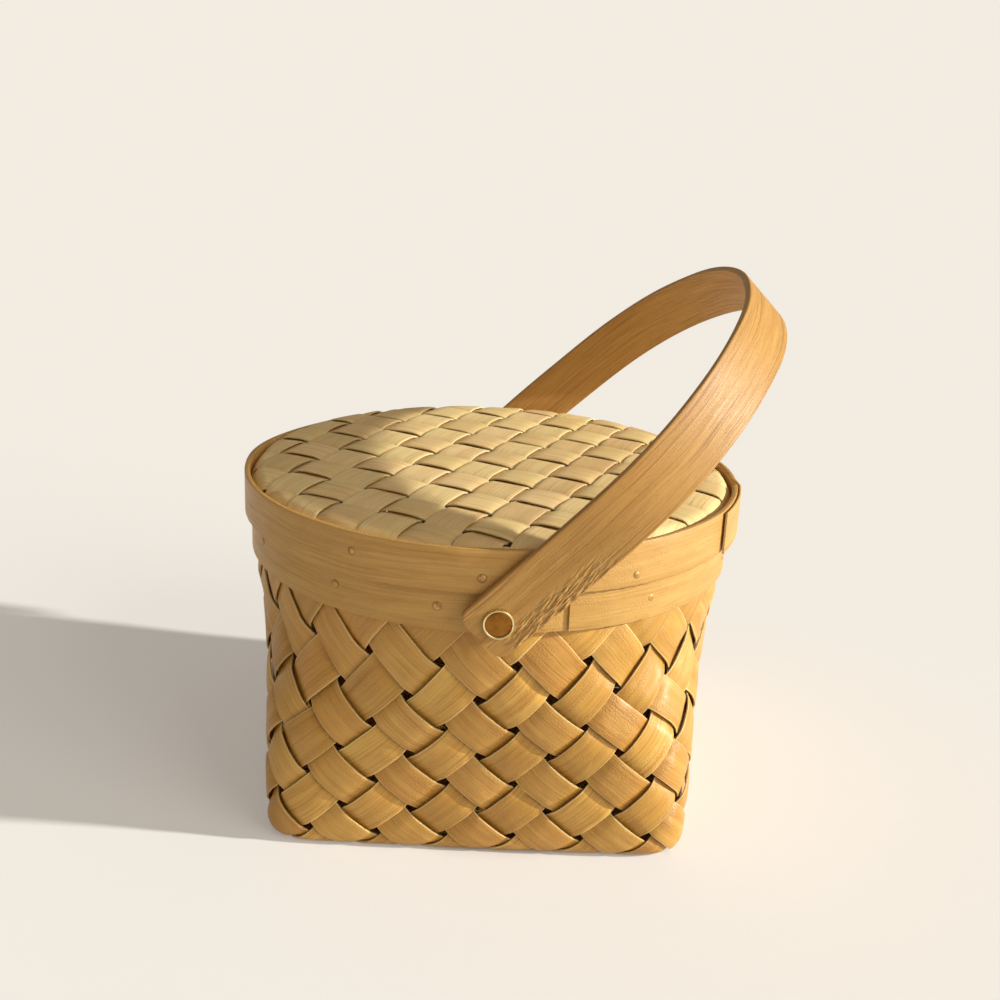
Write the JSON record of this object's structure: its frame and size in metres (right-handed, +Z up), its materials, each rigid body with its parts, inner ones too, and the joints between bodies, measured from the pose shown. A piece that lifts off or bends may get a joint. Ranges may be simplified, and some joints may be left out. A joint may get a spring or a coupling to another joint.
{
  "type": "pie basket",
  "caption": "Round pie basket plaited from wood splints, with bent hoops, a lift-off woven lid and a swinging bentwood handle on brass rivets.",
  "frame": {"origin": "middle of the footprint box on the floor, basket and leaning handle together; the basket's own axis stands 5.5 mm towards -X from it", "axes": "+Z up; the handle's pivot axis is parallel to Y; the handle leans towards +X"},
  "size_m": [0.2105, 0.2116, 0.2134],
  "materials": {
    "poplar": "plain shaved splint, unvarnished",
    "poplar_pale": "plain shaved splint, unvarnished, paler",
    "poplar_hoop": "planed and bent strip",
    "handle_wood": "planed and steam-bent strip, darker and coarser in grain",
    "brass": "slightly dulled"
  },
  "bodies": {
    "basket": {"body_splint_a01": "poplar", "body_splint_a02": "poplar", "body_splint_a03": "poplar", "body_splint_a04": "poplar", "body_splint_a05": "poplar", "body_splint_a06": "poplar", "body_splint_a07": "poplar", "body_splint_a08": "poplar", "body_splint_a09": "poplar", "body_splint_a10": "poplar", "body_splint_a11": "poplar", "body_splint_a12": "poplar", "body_splint_b01": "poplar", "body_splint_b02": "poplar", "body_splint_b03": "poplar", "body_splint_b04": "poplar", "body_splint_b05": "poplar", "body_splint_b06": "poplar", "body_splint_b07": "poplar", "body_splint_b08": "poplar", "body_splint_b09": "poplar", "body_splint_b10": "poplar", "body_splint_b11": "poplar", "body_splint_b12": "poplar", "rim_band_outer": "poplar_hoop", "rim_band_inner": "poplar_hoop", "pivot_rivet_front": "brass", "pivot_rivet_back": "brass", "pivot_washer_front": "brass", "pivot_washer_back": "brass", "pivot_burr_front": "brass", "pivot_burr_back": "brass"},
    "lid": {"lid_splint_a01": "poplar_pale", "lid_splint_a02": "poplar_pale", "lid_splint_a03": "poplar_pale", "lid_splint_a04": "poplar_pale", "lid_splint_a05": "poplar_pale", "lid_splint_a06": "poplar_pale", "lid_splint_a07": "poplar_pale", "lid_splint_a08": "poplar_pale", "lid_splint_a09": "poplar_pale", "lid_splint_a10": "poplar_pale", "lid_splint_a11": "poplar_pale", "lid_splint_b01": "poplar_pale", "lid_splint_b02": "poplar_pale", "lid_splint_b03": "poplar_pale", "lid_splint_b04": "poplar_pale", "lid_splint_b05": "poplar_pale", "lid_splint_b06": "poplar_pale", "lid_splint_b07": "poplar_pale", "lid_splint_b08": "poplar_pale", "lid_splint_b09": "poplar_pale", "lid_splint_b10": "poplar_pale", "lid_splint_b11": "poplar_pale", "lid_hoop_outer": "poplar_hoop", "lid_hoop_inner": "poplar_hoop"},
    "handle": {"handle": "handle_wood"}
  },
  "joints": [
    {"name": "lid_lift", "type": "slide", "parent": "basket", "child": "lid", "axis": [0, 0, 1], "range_m": [0, 0.06]},
    {"name": "handle_swing", "type": "hinge", "parent": "basket", "child": "handle", "pos_m": [-0.00547, 0, 0.1045], "axis": [0, 1, 0], "range_deg": [-155.5, 64.5]}
  ]
}
